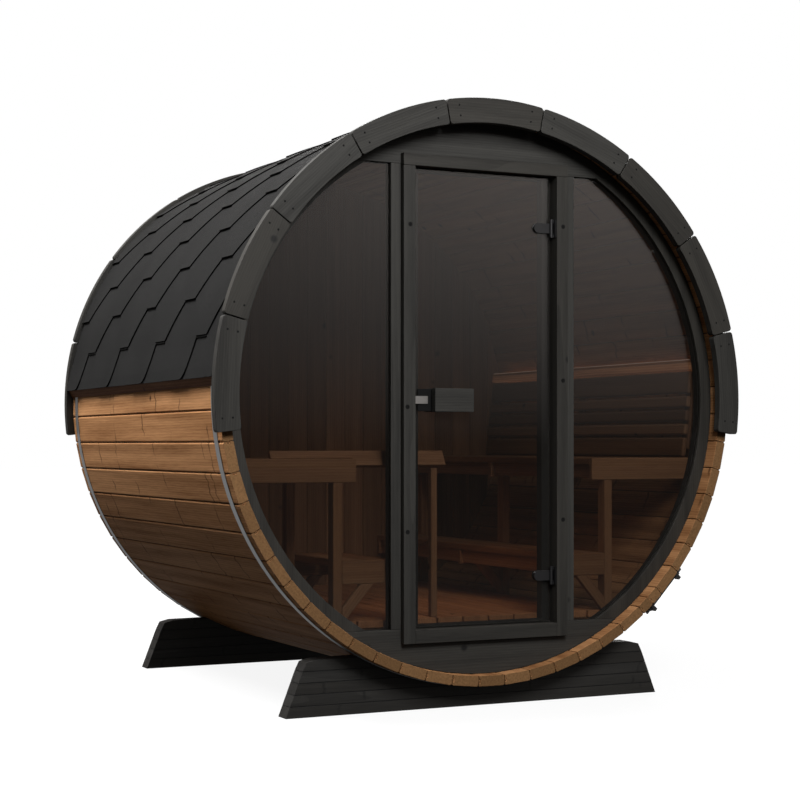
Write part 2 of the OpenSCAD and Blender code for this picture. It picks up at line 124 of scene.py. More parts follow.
WHITE = (1, 1, 1, 1)
WARM_WHITE = (1, 0.93, 0.88, 1)
SKY_LIGHT = 0.072
world = bpy.data.worlds.new("surround")
world.use_nodes = True
bpy.context.scene.world = world
sky = world.node_tree
sky.nodes.clear()
sky_path = add_node(sky, "ShaderNodeLightPath").outputs
sky_way = add_node(sky, "ShaderNodeTexCoord").outputs["Generated"]
sky_rise = ranged(sky, part_of(sky, sky_way, "Z"), (0.0, 0.15), (0.02, 1.0))
sky_side = ranged(sky, part_of(sky, sky_way, "X"), (0.36, 0.54), (0.6, 1.0))
sky_glow = worked(sky, "MULTIPLY", sky_rise, sky_side)
sky_seen = worked(sky, "MAXIMUM", sky_path["Is Camera Ray"], sky_path["Is Transmission Ray"])
sky_light = add_node(sky, "ShaderNodeBackground", {"Color": WHITE, "Strength": SKY_LIGHT}).outputs[0]
sky_gloss = add_node(sky, "ShaderNodeBackground", {"Color": WARM_WHITE, "Strength": sky_glow}).outputs[0]
sky_white = add_node(sky, "ShaderNodeBackground", {"Color": WHITE, "Strength": 1.0}).outputs[0]
sky_turns = {0: sky_path["Is Glossy Ray"], 1: sky_light, 2: sky_gloss}
sky_lit = add_node(sky, "ShaderNodeMixShader", sky_turns).outputs[0]
sky_mix = add_node(sky, "ShaderNodeMixShader", {0: sky_seen, 1: sky_lit, 2: sky_white}).outputs[0]
add_node(sky, "ShaderNodeOutputWorld", {"Surface": sky_mix})


def soft_lamp(name, place, aim, side, power, colour=(1, 1, 1)):
    """A square area lamp at a place, turned towards a point."""
    data = bpy.data.lights.new(name, "AREA")
    data.size = side
    data.energy = power
    data.color = colour
    lamp = bpy.data.objects.new(name, data)
    lamp.location = place
    bpy.context.scene.collection.objects.link(lamp)
    way = np.subtract(aim, place)
    tilt = math.atan2(math.hypot(way[0], way[1]), -way[2])
    lamp.rotation_euler = (tilt, 0, math.atan2(way[1], way[0]) - math.pi / 2)
    return lamp


soft_lamp("lamp_rear", place=(3.4, 5.2, 4.8), aim=(0, 0.4, 1.0), side=2.6, power=330)
soft_lamp("lamp_left", place=(-3.3, 0.9, 6.2), aim=(-0.8, 0.2, 1.1), side=2.6, power=780)
soft_lamp("lamp_front", place=(-0.5, -5.0, 4.0), aim=(0, -0.8, 1.1), side=2.0, power=285)

FLOOR_REACH = 60.0
floor_mesh = bpy.data.meshes.new("studio_floor")
floor_corners = [(-FLOOR_REACH, -FLOOR_REACH, 0), (FLOOR_REACH, -FLOOR_REACH, 0),
                 (FLOOR_REACH, FLOOR_REACH, 0), (-FLOOR_REACH, FLOOR_REACH, 0)]
floor_mesh.from_pydata(floor_corners, [], [(0, 1, 2, 3)])
studio_floor = bpy.data.objects.new("studio_floor", floor_mesh)
bpy.context.scene.collection.objects.link(studio_floor)
floor_finish, floor_tree, floor_shader = new_finish("pale_floor")
floor_path = add_node(floor_tree, "ShaderNodeLightPath").outputs
floor_way = object_place(floor_tree)
floor_tone = blended(floor_tree, floor_path["Is Camera Ray"], (0.03, 0.03, 0.03), (0.11, 0.11, 0.11))
floor_length = add_node(floor_tree, "ShaderNodeVectorMath", {0: floor_way}, operation="LENGTH")
floor_white = ranged(floor_tree, floor_length.outputs["Value"], (1.0, 5.0), (0.90, 1.0))
floor_clear = worked(floor_tree, "MAXIMUM", floor_path["Is Camera Ray"], floor_path["Is Transmission Ray"])
floor_mirror = ranged(floor_tree, part_of(floor_tree, floor_way, "Y"), (-1.4, -0.7), (0.02, 0.24))
floor_seen = worked(floor_tree, "MULTIPLY_ADD", floor_path["Is Glossy Ray"], floor_mirror, floor_clear)
floor_glow = worked(floor_tree, "MULTIPLY", floor_seen, floor_white)
set_inputs(floor_tree, floor_shader, {"Base Color": floor_tone, "Roughness": 1.0, "Specular IOR Level": 0.0,
                                      "Emission Color": WHITE, "Emission Strength": floor_glow})
floor_mesh.materials.append(floor_finish)

# The cradles: two stacks of five black-stained boards, raked at the ends and hollowed to the barrel.
# Each board has its edges eased with a plane, so the joints between the boards show as fine grooves.
CRADLE_BOARD = (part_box("cradle_front")[1].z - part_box("cradle_front")[0].z) / 5
CRADLE_EASING = 0.0015
EASING_STEPS = 2
SHARP_EDGE = 28
SAME_PLACE = 1e-6
FLAT_TURN = 0.2
TINY_EDGE = 0.0006
GRAIN_SHIFT = 40
HOLLOW_REACH = 0.006
PRESSED_IN = 0.0018
BARREL_R = (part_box("hoops")[1].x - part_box("hoops")[0].x) / 2
AXIS_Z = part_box("hoops")[1].z - BARREL_R
BLACK_KNOT = (0.002, 0.002, 0.002)


def board_labels(count, edges):
    """Gives every vertex the number of its board: the least vertex number spreads along the edges."""
    label = np.arange(count)
    while True:
        least = label.copy()
        np.minimum.at(least, edges[:, 0], label[edges[:, 1]])
        np.minimum.at(least, edges[:, 1], label[edges[:, 0]])
        least = least[least]
        if np.array_equal(least, label):
            return np.unique(label, return_inverse=True)[1]
        label = least


def store_grain(mesh, seed):
    """Stores each board's own coordinates for its grain: x along its longest principal direction, y across
    and z through, shifted by a random amount for each board. Also stores a random tone for each board."""
    count = len(mesh.vertices)
    places = np.empty(count * 3)
    mesh.vertices.foreach_get("co", places)
    places = places.reshape(-1, 3)
    edges = np.empty(len(mesh.edges) * 2, int)
    mesh.edges.foreach_get("vertices", edges)
    label = board_labels(count, edges.reshape(-1, 2))
    boards = label.max() + 1
    amount = np.bincount(label, minlength=boards)
    middle = np.stack([np.bincount(label, places[:, i], boards) for i in range(3)], 1) / amount[:, None]
    off = places - middle[label]
    spread = np.stack([[np.bincount(label, off[:, i] * off[:, j], boards) for j in range(3)]
                       for i in range(3)])
    ways = np.linalg.eigh(spread.transpose(2, 0, 1))[1][:, :, ::-1]
    local = np.einsum("vi,vij->vj", off, ways[label])
    dice = np.random.default_rng(seed)
    local += dice.uniform(-GRAIN_SHIFT, GRAIN_SHIFT, (boards, 3))[label]
    tone = dice.uniform(0, 1, boards)[label]
    stored = mesh.attributes.new("grain", "FLOAT_VECTOR", "POINT")
    stored.data.foreach_set("vector", local.astype(np.float32).ravel())
    stored = mesh.attributes.new("tone", "FLOAT", "POINT")
    stored.data.foreach_set("value", tone.astype(np.float32))


def link_piece(name, mesh, finish, body, nodes):
    """Puts a mesh in the scene as a piece that rides on a body and stands for the named nodes."""
    piece = bpy.data.objects.new(name, mesh)
    bpy.context.scene.collection.objects.link(piece)
    mesh.materials.clear()
    mesh.materials.append(finish)
    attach(piece, body)
    if nodes:
        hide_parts(*nodes)
    return piece


def eased_boards(node, finish, easing, seed, body="sauna"):
    """The boards of a node with rounded edges: the node's faces merged into boards, and each sharp edge cut
    back by the easing."""
    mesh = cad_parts[node].data.copy()
    mesh.name = node + "_boards"
    work = bmesh.new()
    work.from_mesh(mesh)
    bmesh.ops.remove_doubles(work, verts=work.verts, dist=SAME_PLACE)
    bmesh.ops.dissolve_limit(work, angle_limit=math.radians(FLAT_TURN), verts=work.verts, edges=work.edges)
    bmesh.ops.dissolve_degenerate(work, dist=TINY_EDGE, edges=work.edges)
    work.to_mesh(mesh)
    work.free()
    for old in [a.name for a in mesh.attributes if a.name in ("custom_normal", "sharp_face", "sharp_edge")]:
        mesh.attributes.remove(mesh.attributes[old])
    store_grain(mesh, seed)
    piece = link_piece(node + "_boards", mesh, finish, body, [node])
    round_over = piece.modifiers.new("easing", "BEVEL")
    round_over.width = easing
    round_over.segments = EASING_STEPS
    round_over.limit_method = "ANGLE"
    round_over.angle_limit = math.radians(SHARP_EDGE)
    round_over.use_clamp_overlap = True
    round_over.harden_normals = True
    mesh.shade_smooth()
    return piece


def stretched(tree, vector, scale):
    """A place with its coordinates scaled."""
    return add_node(tree, "ShaderNodeMapping", {"Vector": vector, "Scale": scale}).outputs[0]


def speckle(tree, vector, scale, detail=2.0, roughness=0.5):
    """Noise at a place."""
    inputs = {"Vector": vector, "Scale": scale, "Detail": detail, "Roughness": roughness}
    return add_node(tree, "ShaderNodeTexNoise", inputs).outputs["Fac"]


def wood_finish(name, early, late, knot, ring_depth, tone_range, roughness, knot_share=0.5, share=None,
                groove=None, end_colour=None, gloss=0.25):
    """Softwood: growth rings as waves across the grain, bent by slow noise, fine fibres along it, scattered
    knots, and a tone for each board. With share, which counts the boards, the grooves from board to board
    are dark and thin spike knots run across. With end_colour as well, faces square to the barrel show sawn
    end grain."""
    finish, tree, shader = new_finish(name)
    grain = add_node(tree, "ShaderNodeAttribute", attribute_name="grain").outputs["Vector"]
    tone = add_node(tree, "ShaderNodeAttribute", attribute_name="tone").outputs["Fac"]
    ring_inputs = {"Vector": stretched(tree, grain, (0.055, 1.0, 0.6)), "Scale": 34.0, "Distortion": 7.0,
                   "Detail": 2.0, "Detail Scale": 0.45, "Detail Roughness": 0.55}
    rings = add_node(tree, "ShaderNodeTexWave", ring_inputs, wave_type="BANDS", bands_direction="Y",
                     wave_profile="SAW").outputs["Fac"]
    fibres = speckle(tree, stretched(tree, grain, (14, 420, 420)), 1.0, 4.0, 0.6)
    streaks = speckle(tree, stretched(tree, grain, (1.1, 26, 26)), 1.0, 3.0, 0.55)
    ring_part = worked(tree, "MULTIPLY", rings, ring_depth)
    fibre_part = ranged(tree, fibres, (0.35, 0.75), (0.0, 0.35))
    streak_part = ranged(tree, streaks, (0.35, 0.7), (0.0, 0.55))
    lines = worked(tree, "ADD", ring_part, fibre_part)
    depth = worked(tree, "ADD", lines, streak_part, use_clamp=True)
    dim, bright = tone_range
    tint = blended(tree, tone, (dim, 0.94 * dim, 0.87 * dim), (bright, bright, bright))
    colour = blended(tree, 1.0, blended(tree, depth, early, late), tint, "MULTIPLY")
    cells = add_node(tree, "ShaderNodeTexVoronoi", {"Vector": grain, "Scale": 6.0}, feature="F1").outputs
    chosen = add_node(tree, "ShaderNodeSeparateColor", {"Color": cells["Color"]}).outputs["Red"]
    knot_core = ranged(tree, cells["Distance"], (0.045, 0.095), (1.0, 0.0))
    knots = worked(tree, "MULTIPLY", knot_core, worked(tree, "LESS_THAN", chosen, knot_share))
    colour = blended(tree, knots, colour, knot)
    if share:
        bend = speckle(tree, stretched(tree, grain, (1.5, 30, 30)), 1.0)
        spike_x = worked(tree, "MULTIPLY_ADD", bend, 0.05, part_of(tree, grain, "X"))
        spike_inputs = {"W": spike_x, "Scale": 3.0}
        spike = add_node(tree, "ShaderNodeTexVoronoi", spike_inputs, voronoi_dimensions="1D").outputs
        spike_line = ranged(tree, spike["Distance"], (0.007, 0.024), (1.0, 0.0))
        spike_part = ranged(tree, speckle(tree, grain, 14.0), (0.42, 0.60), (0.0, 0.72))
        colour = blended(tree, worked(tree, "MULTIPLY", spike_line, spike_part), colour, knot)
        aside = worked(tree, "PINGPONG", share(tree), 0.5)
        colour = blended(tree, ranged(tree, aside, groove, (0.9, 0.0)), colour, knot)
    if end_colour:
        normal = add_node(tree, "ShaderNodeNewGeometry").outputs["Normal"]
        square = worked(tree, "ABSOLUTE", part_of(tree, normal, "Y"))
        pores = ranged(tree, speckle(tree, grain, 160.0, 3.0), (0.3, 0.7), (0.75, 1.15))
        end_tone = worked(tree, "MULTIPLY", pores, ranged(tree, tone, (0.0, 1.0), tone_range))
        end_wood = blended(tree, 1.0, end_colour, end_tone, "MULTIPLY")
        end_wood = blended(tree, ranged(tree, aside, (0.010, 0.026), (0.6, 0.0)), end_wood, knot)
        colour = blended(tree, ranged(tree, square, (0.6, 0.9), (0.0, 1.0)), colour, end_wood)
    rough = ranged(tree, depth, (0.0, 1.0), (roughness - 0.06, roughness + 0.08))
    bump = add_node(tree, "ShaderNodeBump", {"Height": depth, "Strength": 0.35, "Distance": 0.0012})
    set_inputs(tree, shader, {"Base Color": colour, "Roughness": rough, "Specular IOR Level": gloss,
                              "Normal": bump.outputs[0]})
    return finish


def stack_share(tree):
    """Height in the stack of a cradle, in boards."""
    return worked(tree, "DIVIDE", part_of(tree, object_place(tree), "Z"), CRADLE_BOARD)


def press_hollow(mesh):
    """Draws the vertices of a cradle's hollow in towards the barrel's axis by a set depth, as the weight
    beds the wood, so that no light shows between the round hollow and the flat staves."""
    places = np.empty(len(mesh.vertices) * 3)
    mesh.vertices.foreach_get("co", places)
    places = places.reshape(-1, 3)
    radius = np.hypot(places[:, 0], places[:, 2] - AXIS_Z)
    share = np.where(radius < BARREL_R + HOLLOW_REACH, PRESSED_IN / radius, 0)
    places[:, 0] -= places[:, 0] * share
    places[:, 2] -= (places[:, 2] - AXIS_Z) * share
    mesh.vertices.foreach_set("co", places.ravel())
    mesh.update()


cradle_stain = wood_finish("black_stained_cradle", early=(0.025, 0.0242, 0.0225),
                           late=(0.0080, 0.0077, 0.0071), knot=BLACK_KNOT, ring_depth=0.30,
                           tone_range=(0.85, 1.15), roughness=0.66, knot_share=0.6, share=stack_share,
                           groove=(0.030, 0.065))
for number, name in enumerate(("cradle_front", "cradle_rear")):
    press_hollow(eased_boards(name, cradle_stain, CRADLE_EASING, 11 + number).data)

# The barrel: sixty tongued and grooved staves of heat-treated softwood, planed flat, with bevelled edges.
# The two halves of the last stave close the ring at the lower right.
BARREL_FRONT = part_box("staves_top")[0].y
BARREL_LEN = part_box("staves_top")[1].y - BARREL_FRONT
STAVE_TURN = math.radians(6)
STAVE_EASING = 0.003


def stave_count(tree):
    """Angle round the barrel's axis, in staves, with a whole number at each joint."""
    place = object_place(tree)
    above = worked(tree, "SUBTRACT", part_of(tree, place, "Z"), AXIS_Z)
    turn = worked(tree, "ARCTAN2", above, part_of(tree, place, "X"))
    return worked(tree, "MULTIPLY_ADD", turn, 1 / STAVE_TURN, -0.5)


stave_wood = wood_finish("heat_treated_staves", early=(0.63, 0.328, 0.150), late=(0.21, 0.089, 0.034),
                         knot=(0.04, 0.015, 0.006), ring_depth=0.28, tone_range=(0.72, 1.10),
                         roughness=0.55, share=stave_count, groove=(0.011, 0.020),
                         end_colour=(0.215, 0.116, 0.052), gloss=0.03)
for number, name in enumerate(("staves_top", "staves_left", "staves_right", "staves_bottom")):
    eased_boards(name, stave_wood, STAVE_EASING, 21 + number)

# The hoops and their tensioners: rolled steel strip round each end, drawn tight by a threaded rod between
# two lugs. The strip is bare, with fine rolling lines along it, and the rods and lugs are blackened.


def mottled_finish(name, dark, light, scale, detail, roughness, metallic=0.0, specular=0.5, stretch=None):
    """A finish that varies between two colours by noise, drawn out into lines where stretch is given. A
    pair of roughnesses follows the same noise."""
    finish, tree, shader = new_finish(name)
    place = object_place(tree)
    if stretch:
        place = stretched(tree, place, stretch)
    noise = speckle(tree, place, scale, detail)
    if isinstance(roughness, tuple):
        roughness = ranged(tree, noise, (0.0, 1.0), roughness)
    set_inputs(tree, shader, {"Base Color": blended(tree, noise, dark, light), "Roughness": roughness,
                              "Metallic": metallic, "Specular IOR Level": specular})
    return finish


def refinish(node, finish):
    """Gives a node of the frame its finish."""
    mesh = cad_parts[node].data
    mesh.materials.clear()
    mesh.materials.append(finish)


rolled_steel = mottled_finish("rolled_steel", dark=(0.36, 0.365, 0.37), light=(0.56, 0.565, 0.57), scale=1.0,
                              detail=3.0, roughness=(0.32, 0.5), metallic=1.0, stretch=(6, 900, 6))
dark_bolts = mottled_finish("dark_bolts", dark=(0.030, 0.030, 0.031), light=(0.085, 0.085, 0.087),
                            scale=260.0, detail=3.0, roughness=0.45, metallic=0.8)
refinish("hoops", rolled_steel)
refinish("hoop_tensioners", dark_bolts)

# The eave battens: long wedges of rough-sawn softwood, nailed to the staves under the roof's lower edges.
# They throw the first shingles outwards, so that water drips clear of the barrel. Their brown is painted
# shade: much darker than the staves' wood, for the shade under the eave.
BATTEN_EASING = 0.001
batten_shaded_wood = wood_finish("rough_sawn_batten_painted_shade", early=(0.21, 0.095, 0.038), late=(0.075, 0.028, 0.010),
                          knot=(0.02, 0.008, 0.004), ring_depth=0.42, tone_range=(0.9, 1.1), roughness=0.75)
eased_boards("eave_battens", batten_shaded_wood, BATTEN_EASING, 31)

# The roof: felt shingles with mineral grit, in courses of hexagonal tabs nailed over the upper half of the
# barrel. Each course laps the one below, a straight starter strip hangs over the eave, and caps cover the
# ridge. Angles are in degrees, up from the level of the barrel's axis.
SHINGLE_T = 0.0044
DECK_R = BARREL_R + 0.0015
EAVE_ANGLE = 3.4
EAVE_FLARE = 0.0123
EAVE_DROP = 0.36
FLARE_SPAN = 7.0
FLARE_CURVE = 1.25
COURSES = 11
EXPOSURE = (90 - EAVE_ANGLE) / COURSES
COURSE_REACH = 2.1
RIDGE_ANGLE = 91.0
LEAST_STRIP = 0.4
TAB_PITCH = 0.4247
TAB_FLAT = 0.108
TAB_START = 0.1845
FIRST_CURVE = 4.0
SLANT_STEPS = 9
ROWS = 9
END_GAP = 0.0005
END_CLEAR = 0.004


def lofted(rings):
    """A closed bar: rings (n, m, 3) joined by quads from each to the next, with a cap on each end."""
    n, m = rings.shape[:2]
    i, j = np.meshgrid(np.arange(n - 1), np.arange(m), indexing="ij")
    nxt = (j + 1) % m
    quads = np.stack([i * m + j, i * m + nxt, (i + 1) * m + nxt, (i + 1) * m + j], -1).reshape(-1, 4)
    caps = np.stack([np.arange(m)[::-1], np.arange(m) + (n - 1) * m])
    return rings.reshape(-1, 3), quads, caps


def joined_mesh(name, parts):
    """One mesh from several bars, with its normals turned outwards."""
    starts = np.cumsum([0] + [len(points) for points, quads, caps in parts])
    faces = []
    for start, (points, quads, caps) in zip(starts, parts):
        faces += (quads + start).tolist()
        faces += (caps + start).tolist()
    mesh = bpy.data.meshes.new(name)
    mesh.from_pydata(np.concatenate([points for points, quads, caps in parts]).tolist(), [], faces)
    work = bmesh.new()
    work.from_mesh(mesh)
    bmesh.ops.recalc_face_normals(work, faces=work.faces)
    work.to_mesh(mesh)
    work.free()
    return mesh


def deck_radius(angle):
    """Radius of the deck under the shingles: round, with a flare that grows towards the eave as a power of
    the angle."""
    flare = np.clip((EAVE_ANGLE + FLARE_SPAN - angle) / FLARE_SPAN, 0, 1) ** FLARE_CURVE
    return DECK_R + EAVE_FLARE * flare


def tab_wave(y, course):
    """Height of a course's lower edge, in exposures: 0 on a tab's flat foot, 1 between tabs, straight in
    between. On the first course, which is bent over the eave, it rises as a power."""
    half = TAB_PITCH / 2
    away = np.abs((y - TAB_START - (course - 1) * half + half) % TAB_PITCH - half)
    return np.clip((away - TAB_FLAT / 2) / (half - TAB_FLAT), 0, 1) ** (FIRST_CURVE if course == 0 else 1)


def shingle_course(course, side):
    """One course: at each place along the barrel a thin strip from the lower edge up under the next two
    courses. The top face falls by two thicknesses over two exposures, so each course lies on the one below.
    Course -1 is the starter strip under the first course, with a straight edge."""
    half = TAB_PITCH / 2
    slant = np.linspace(TAB_FLAT / 2, half - TAB_FLAT / 2, SLANT_STEPS)[:-1]
    steps = np.concatenate([[-TAB_FLAT / 2], slant])
    # More half tabs than the barrel's length holds, of which those between its ends are kept
    corners = TAB_START + (np.arange(-12, 24)[:, None] * half + steps).ravel()
    inside = corners[(corners > END_CLEAR) & (corners < BARREL_LEN - END_CLEAR)]
    y = np.unique(np.concatenate([[END_GAP], inside, [BARREL_LEN - END_GAP]]))
    foot = EAVE_ANGLE + max(course, 0) * EXPOSURE - (EAVE_DROP if course <= 0 else 0)
    wave = tab_wave(y, course) if course >= 0 else np.zeros_like(y)
    low = foot + wave * EXPOSURE
    high = min(foot + COURSE_REACH * EXPOSURE, RIDGE_ANGLE)
    share = np.linspace(0, 1, ROWS)
    angle = np.minimum(low, high - LEAST_STRIP)[:, None] * (1 - share) + high * share
    fall = 2 * SHINGLE_T * np.clip(1 - (angle - foot) / (2 * EXPOSURE), 0, 1)
    under = deck_radius(angle) + fall - (SHINGLE_T if course < 0 else 0)
    turn = np.radians(angle)
    place = np.broadcast_to((BARREL_FRONT + y)[:, None], angle.shape)

    def on_roof(radius):
        """Points at a radius from the barrel's axis, at the course's angles."""
        return np.stack([side * radius * np.cos(turn), place, AXIS_Z + radius * np.sin(turn)], -1)

    return lofted(np.concatenate([on_roof(under + SHINGLE_T), on_roof(under)[:, ::-1]], 1))


shingle_felt, felt_tree, felt_shader = new_finish("shingle_felt")
felt_way = object_place(felt_tree)
felt_cells = add_node(felt_tree, "ShaderNodeTexVoronoi", {"Vector": felt_way, "Scale": 520.0}, feature="F1")
felt_grit = felt_cells.outputs
felt_grain = add_node(felt_tree, "ShaderNodeSeparateColor", {"Color": felt_grit["Color"]}).outputs["Red"]
felt_speck = blended(felt_tree, felt_grain, (0.0028, 0.0028, 0.0028), (0.0120, 0.0118, 0.0115))
felt_shade = ranged(felt_tree, speckle(felt_tree, felt_way, 5.0, 5.0), (0.3, 0.7), (0.75, 1.15))
felt_colour = blended(felt_tree, 1.0, felt_speck, felt_shade, "MULTIPLY")
felt_bump = {"Height": felt_grit["Distance"], "Strength": 0.5, "Distance": 0.001}
felt_relief = add_node(felt_tree, "ShaderNodeBump", felt_bump).outputs[0]
set_inputs(felt_tree, felt_shader, {"Base Color": felt_colour, "Roughness": 0.88, "Specular IOR Level": 0.12,
                                    "Normal": felt_relief})
# The cut edges' finish is darker than the felt: painted shade under each shingle's lower edge.
cut_felt_shade = mottled_finish("cut_felt_edge_painted_shade", dark=(0.002, 0.002, 0.002), light=(0.007, 0.007, 0.007),
                          scale=300.0, detail=2.0, roughness=0.95, specular=0.05)


def paint_cut_shade(piece, ring):
    """Gives the faces along the lower cut edge of each strip, the last round each ring, the finish of cut
    felt, which is darker than the felt as painted shade along the lower edges."""
    mesh = piece.data
    mesh.materials.append(cut_felt_shade)
    corner = np.empty(len(mesh.loops), int)
    mesh.loops.foreach_get("vertex_index", corner)
    begin = np.empty(len(mesh.polygons), int)
    mesh.polygons.foreach_get("loop_start", begin)
    amount = np.empty(len(mesh.polygons), int)
    mesh.polygons.foreach_get("loop_total", amount)
    place = corner % ring
    is_edge = np.add.reduceat(((place == 0) | (place == ring - 1)).astype(int), begin) == amount
    mesh.polygons.foreach_set("material_index", is_edge.astype(np.int32))


for name, side in (("roof_left", -1), ("roof_right", 1)):
    slope = joined_mesh(name + "_shingles", [shingle_course(c, side) for c in range(-1, COURSES)])
    paint_cut_shade(link_piece(name + "_shingles", slope, shingle_felt, "sauna", [name]), 2 * ROWS)

CAP_COUNT = 12
CAP_HALF = 5.5
CAP_LAP = 1.3
CAP_STEPS = 9
CAP_SEAT = 3 * SHINGLE_T
CAP_RISE = np.array([2, 0.9]) * SHINGLE_T


def ridge_cap(number):
    """One ridge cap: an arc over the top, whose rear end sinks by a little over one thickness and lies under
    the next cap."""
    pitch = BARREL_LEN / CAP_COUNT
    reach = min(CAP_LAP, CAP_COUNT - number) * pitch - 2 * END_GAP
    y = BARREL_FRONT + END_GAP + number * pitch + np.array([0, reach])
    turn = np.radians(np.linspace(90 - CAP_HALF, 90 + CAP_HALF, CAP_STEPS))
    lift = CAP_RISE + DECK_R + CAP_SEAT

    def arc(extra):
        """The arcs of the cap's two ends, raised by an extra height."""
        r = (lift + extra)[:, None]
        along = np.broadcast_to(y[:, None], (2, CAP_STEPS))
        return np.stack([r * np.cos(turn), along, AXIS_Z + r * np.sin(turn)], -1)

    return lofted(np.concatenate([arc(SHINGLE_T), arc(0)[:, ::-1]], 1))


ridge = joined_mesh("ridge_caps", [ridge_cap(i) for i in range(CAP_COUNT)])
link_piece("ridge_caps", ridge, shingle_felt, "sauna", ["roof_ridge"])

# The fascia: nine curved black-stained boards on each end, sawn to the barrel's round, with rounded corners.
# Two pan-head screws at each end of a board hold it to the stave ends; their heads are near-black, painted
# shade for the sunk screw holes.
FASCIA_EASING = 0.002
FASCIA_BOARDS = 9
FASCIA_DROP = 7.2
FASCIA_TURN = (180 + 2 * FASCIA_DROP) / FASCIA_BOARDS
FASCIA_SCREW = 0.0036
SCREW_SHARES = np.array([0.12, 0.88])
SCREW_RADII = BARREL_R + np.array([-0.034, 0.002])
SCREW_RISE = 0.0005
SCREW_SIDES = 12
black_stain = wood_finish("black_stained_wood", early=(0.036, 0.0350, 0.0315),
                          late=(0.0110, 0.0106, 0.0096), knot=BLACK_KNOT, ring_depth=0.30,
                          tone_range=(0.85, 1.15), roughness=0.62, knot_share=0.85)
for number, name in enumerate(("fascia_front", "fascia_rear")):
    eased_boards(name, black_stain, FASCIA_EASING, 41 + number)
# A dull near-black finish: on the screw heads it is painted shade for the sunk holes, on the handle's
# backing plate it is the plate's own matte black.
dull_black_and_hole_shade = mottled_finish("dull_black_plate_and_screw_hole_shade", dark=(0.003, 0.003, 0.003), light=(0.009, 0.009, 0.009),
                            scale=400.0, detail=2.0, roughness=0.8, specular=0.1)


def screw_heads(name, places, facing, size):
    """Pan-head screws: a profile of radius and height turned about the Y axis, set at each place, facing +Y
    or -Y. The profile rises to a flat crown and dips into a round socket. Their near-black finish is painted
    shade for the sunk screw holes."""
    radius = size * np.array([1.0, 0.96, 0.8, 0.42, 0.34, 0.001])[:, None]
    height = SCREW_RISE * np.array([0.0, 0.7, 1.0, 1.0, 0.2, 0.2])[:, None]
    turn = np.arange(SCREW_SIDES) * 2 * math.pi / SCREW_SIDES
    rise = np.broadcast_to(facing * height, (len(height), SCREW_SIDES))
    shape = np.stack([radius * np.cos(turn), rise, radius * np.sin(turn)], -1)
    heads = [lofted(shape + np.array(place)) for place in places]
    return link_piece(name, joined_mesh(name, heads), dull_black_and_hole_shade, "sauna", [])


screw_turns = FASCIA_TURN * (np.arange(FASCIA_BOARDS)[:, None] + SCREW_SHARES) - FASCIA_DROP
screw_angles = np.radians(screw_turns).ravel()
for name, facing in (("fascia_front", -1), ("fascia_rear", 1)):
    face_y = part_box(name)[0 if facing < 0 else 1].y
    spots = [(r * math.cos(a), face_y, AXIS_Z + r * math.sin(a)) for a in screw_angles for r in SCREW_RADII]
    screw_heads(name + "_screws", spots, facing, FASCIA_SCREW)

# The front wall: a curved frame, boarded panels over and under the windows, fixed posts and the door's own
# frame. All of it is black-stained softwood with eased edges, and screws hold the door's jambs; their heads
# are broad near-black discs, painted shade for the sunk screw holes.
FRAME_EASING = 0.0015
FRONT_WALL = ("front_ring_left", "front_ring_right", "header_panel", "sill_panel", "window_posts",
              "door_jamb_left", "door_jamb_right", "door_head", "door_threshold", "door_stop")
JAMB_SCREW = 0.0080
JAMB_SCREWS = ((-0.300, 0.585), (-0.311, -0.036), (-0.3105, -0.461),
               (0.305, 0.609), (0.305, 0.063), (0.305, -0.43))
for number, name in enumerate(FRONT_WALL):
    eased_boards(name, black_stain, FRAME_EASING, 51 + number)
jamb_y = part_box("door_jamb_right")[0].y
screw_heads("jamb_screws", [(x, jamb_y, AXIS_Z + z) for x, z in JAMB_SCREWS], -1, JAMB_SCREW)

# The side windows and the door leaf: sheets of bronze-tinted toughened glass, 8 mm thick, with polished
# edges. The windows are fixed in the frame, and the leaf hangs on its clamp hinges.
GLASS_COVER = 0.38
EDGE_COVER = 0.80
tinted_glass, glass_tree, glass_shader = new_finish("tinted_glass")
glass_facing = add_node(glass_tree, "ShaderNodeTexCoord").outputs["Normal"]
glass_face = worked(glass_tree, "ABSOLUTE", part_of(glass_tree, glass_facing, "Y"))
glass_tone = blended(glass_tree, glass_face, (0.040, 0.030, 0.022), (0.010, 0.009, 0.008))
glass_cover = ranged(glass_tree, glass_face, (0.0, 1.0), (EDGE_COVER, GLASS_COVER))
set_inputs(glass_tree, glass_shader, {"Base Color": glass_tone, "Alpha": glass_cover, "Roughness": 0.0,
                                      "Specular IOR Level": 1.0, "IOR": 1.62})
for name in ("window_left", "window_right", "door_glass"):
    refinish(name, tinted_glass)

# The rear wall: upright tongued and grooved softwood boards, cut to the barrel's round and set inside its
# rear end. They are stained black on the weather side and bare inside.
BOARD_W = 0.088
BOARD_GAP = 0.0004
HALF_BOARDS = 11
LEAST_BOARD = 0.02
RIM_INSET = 0.001
LEAST_RISE = 0.02
REAR_GROOVE = 0.004
WEATHER_FACING = 0.3
rear_low, rear_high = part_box("rear_wall")
REAR_R = (rear_high.x - rear_low.x) / 2


def rear_board(x_low, x_high):
    """One upright board: an outline with bevelled long edges, carried from the circle's foot to its head, so
    that its ends follow the round."""
    g = REAR_GROOVE
    x = np.array([x_low, x_low + g, x_high - g, x_high, x_high, x_high - g, x_low + g, x_low])
    front, back = rear_low.y, rear_high.y
    y = np.array([front + g, front, front, front + g, back - g, back, back, back - g])
    reach = np.sqrt(np.maximum(REAR_R ** 2 - x ** 2, LEAST_RISE ** 2))
    return lofted(np.stack([np.stack([x, y, AXIS_Z + s * reach], -1) for s in (-1, 1)]))


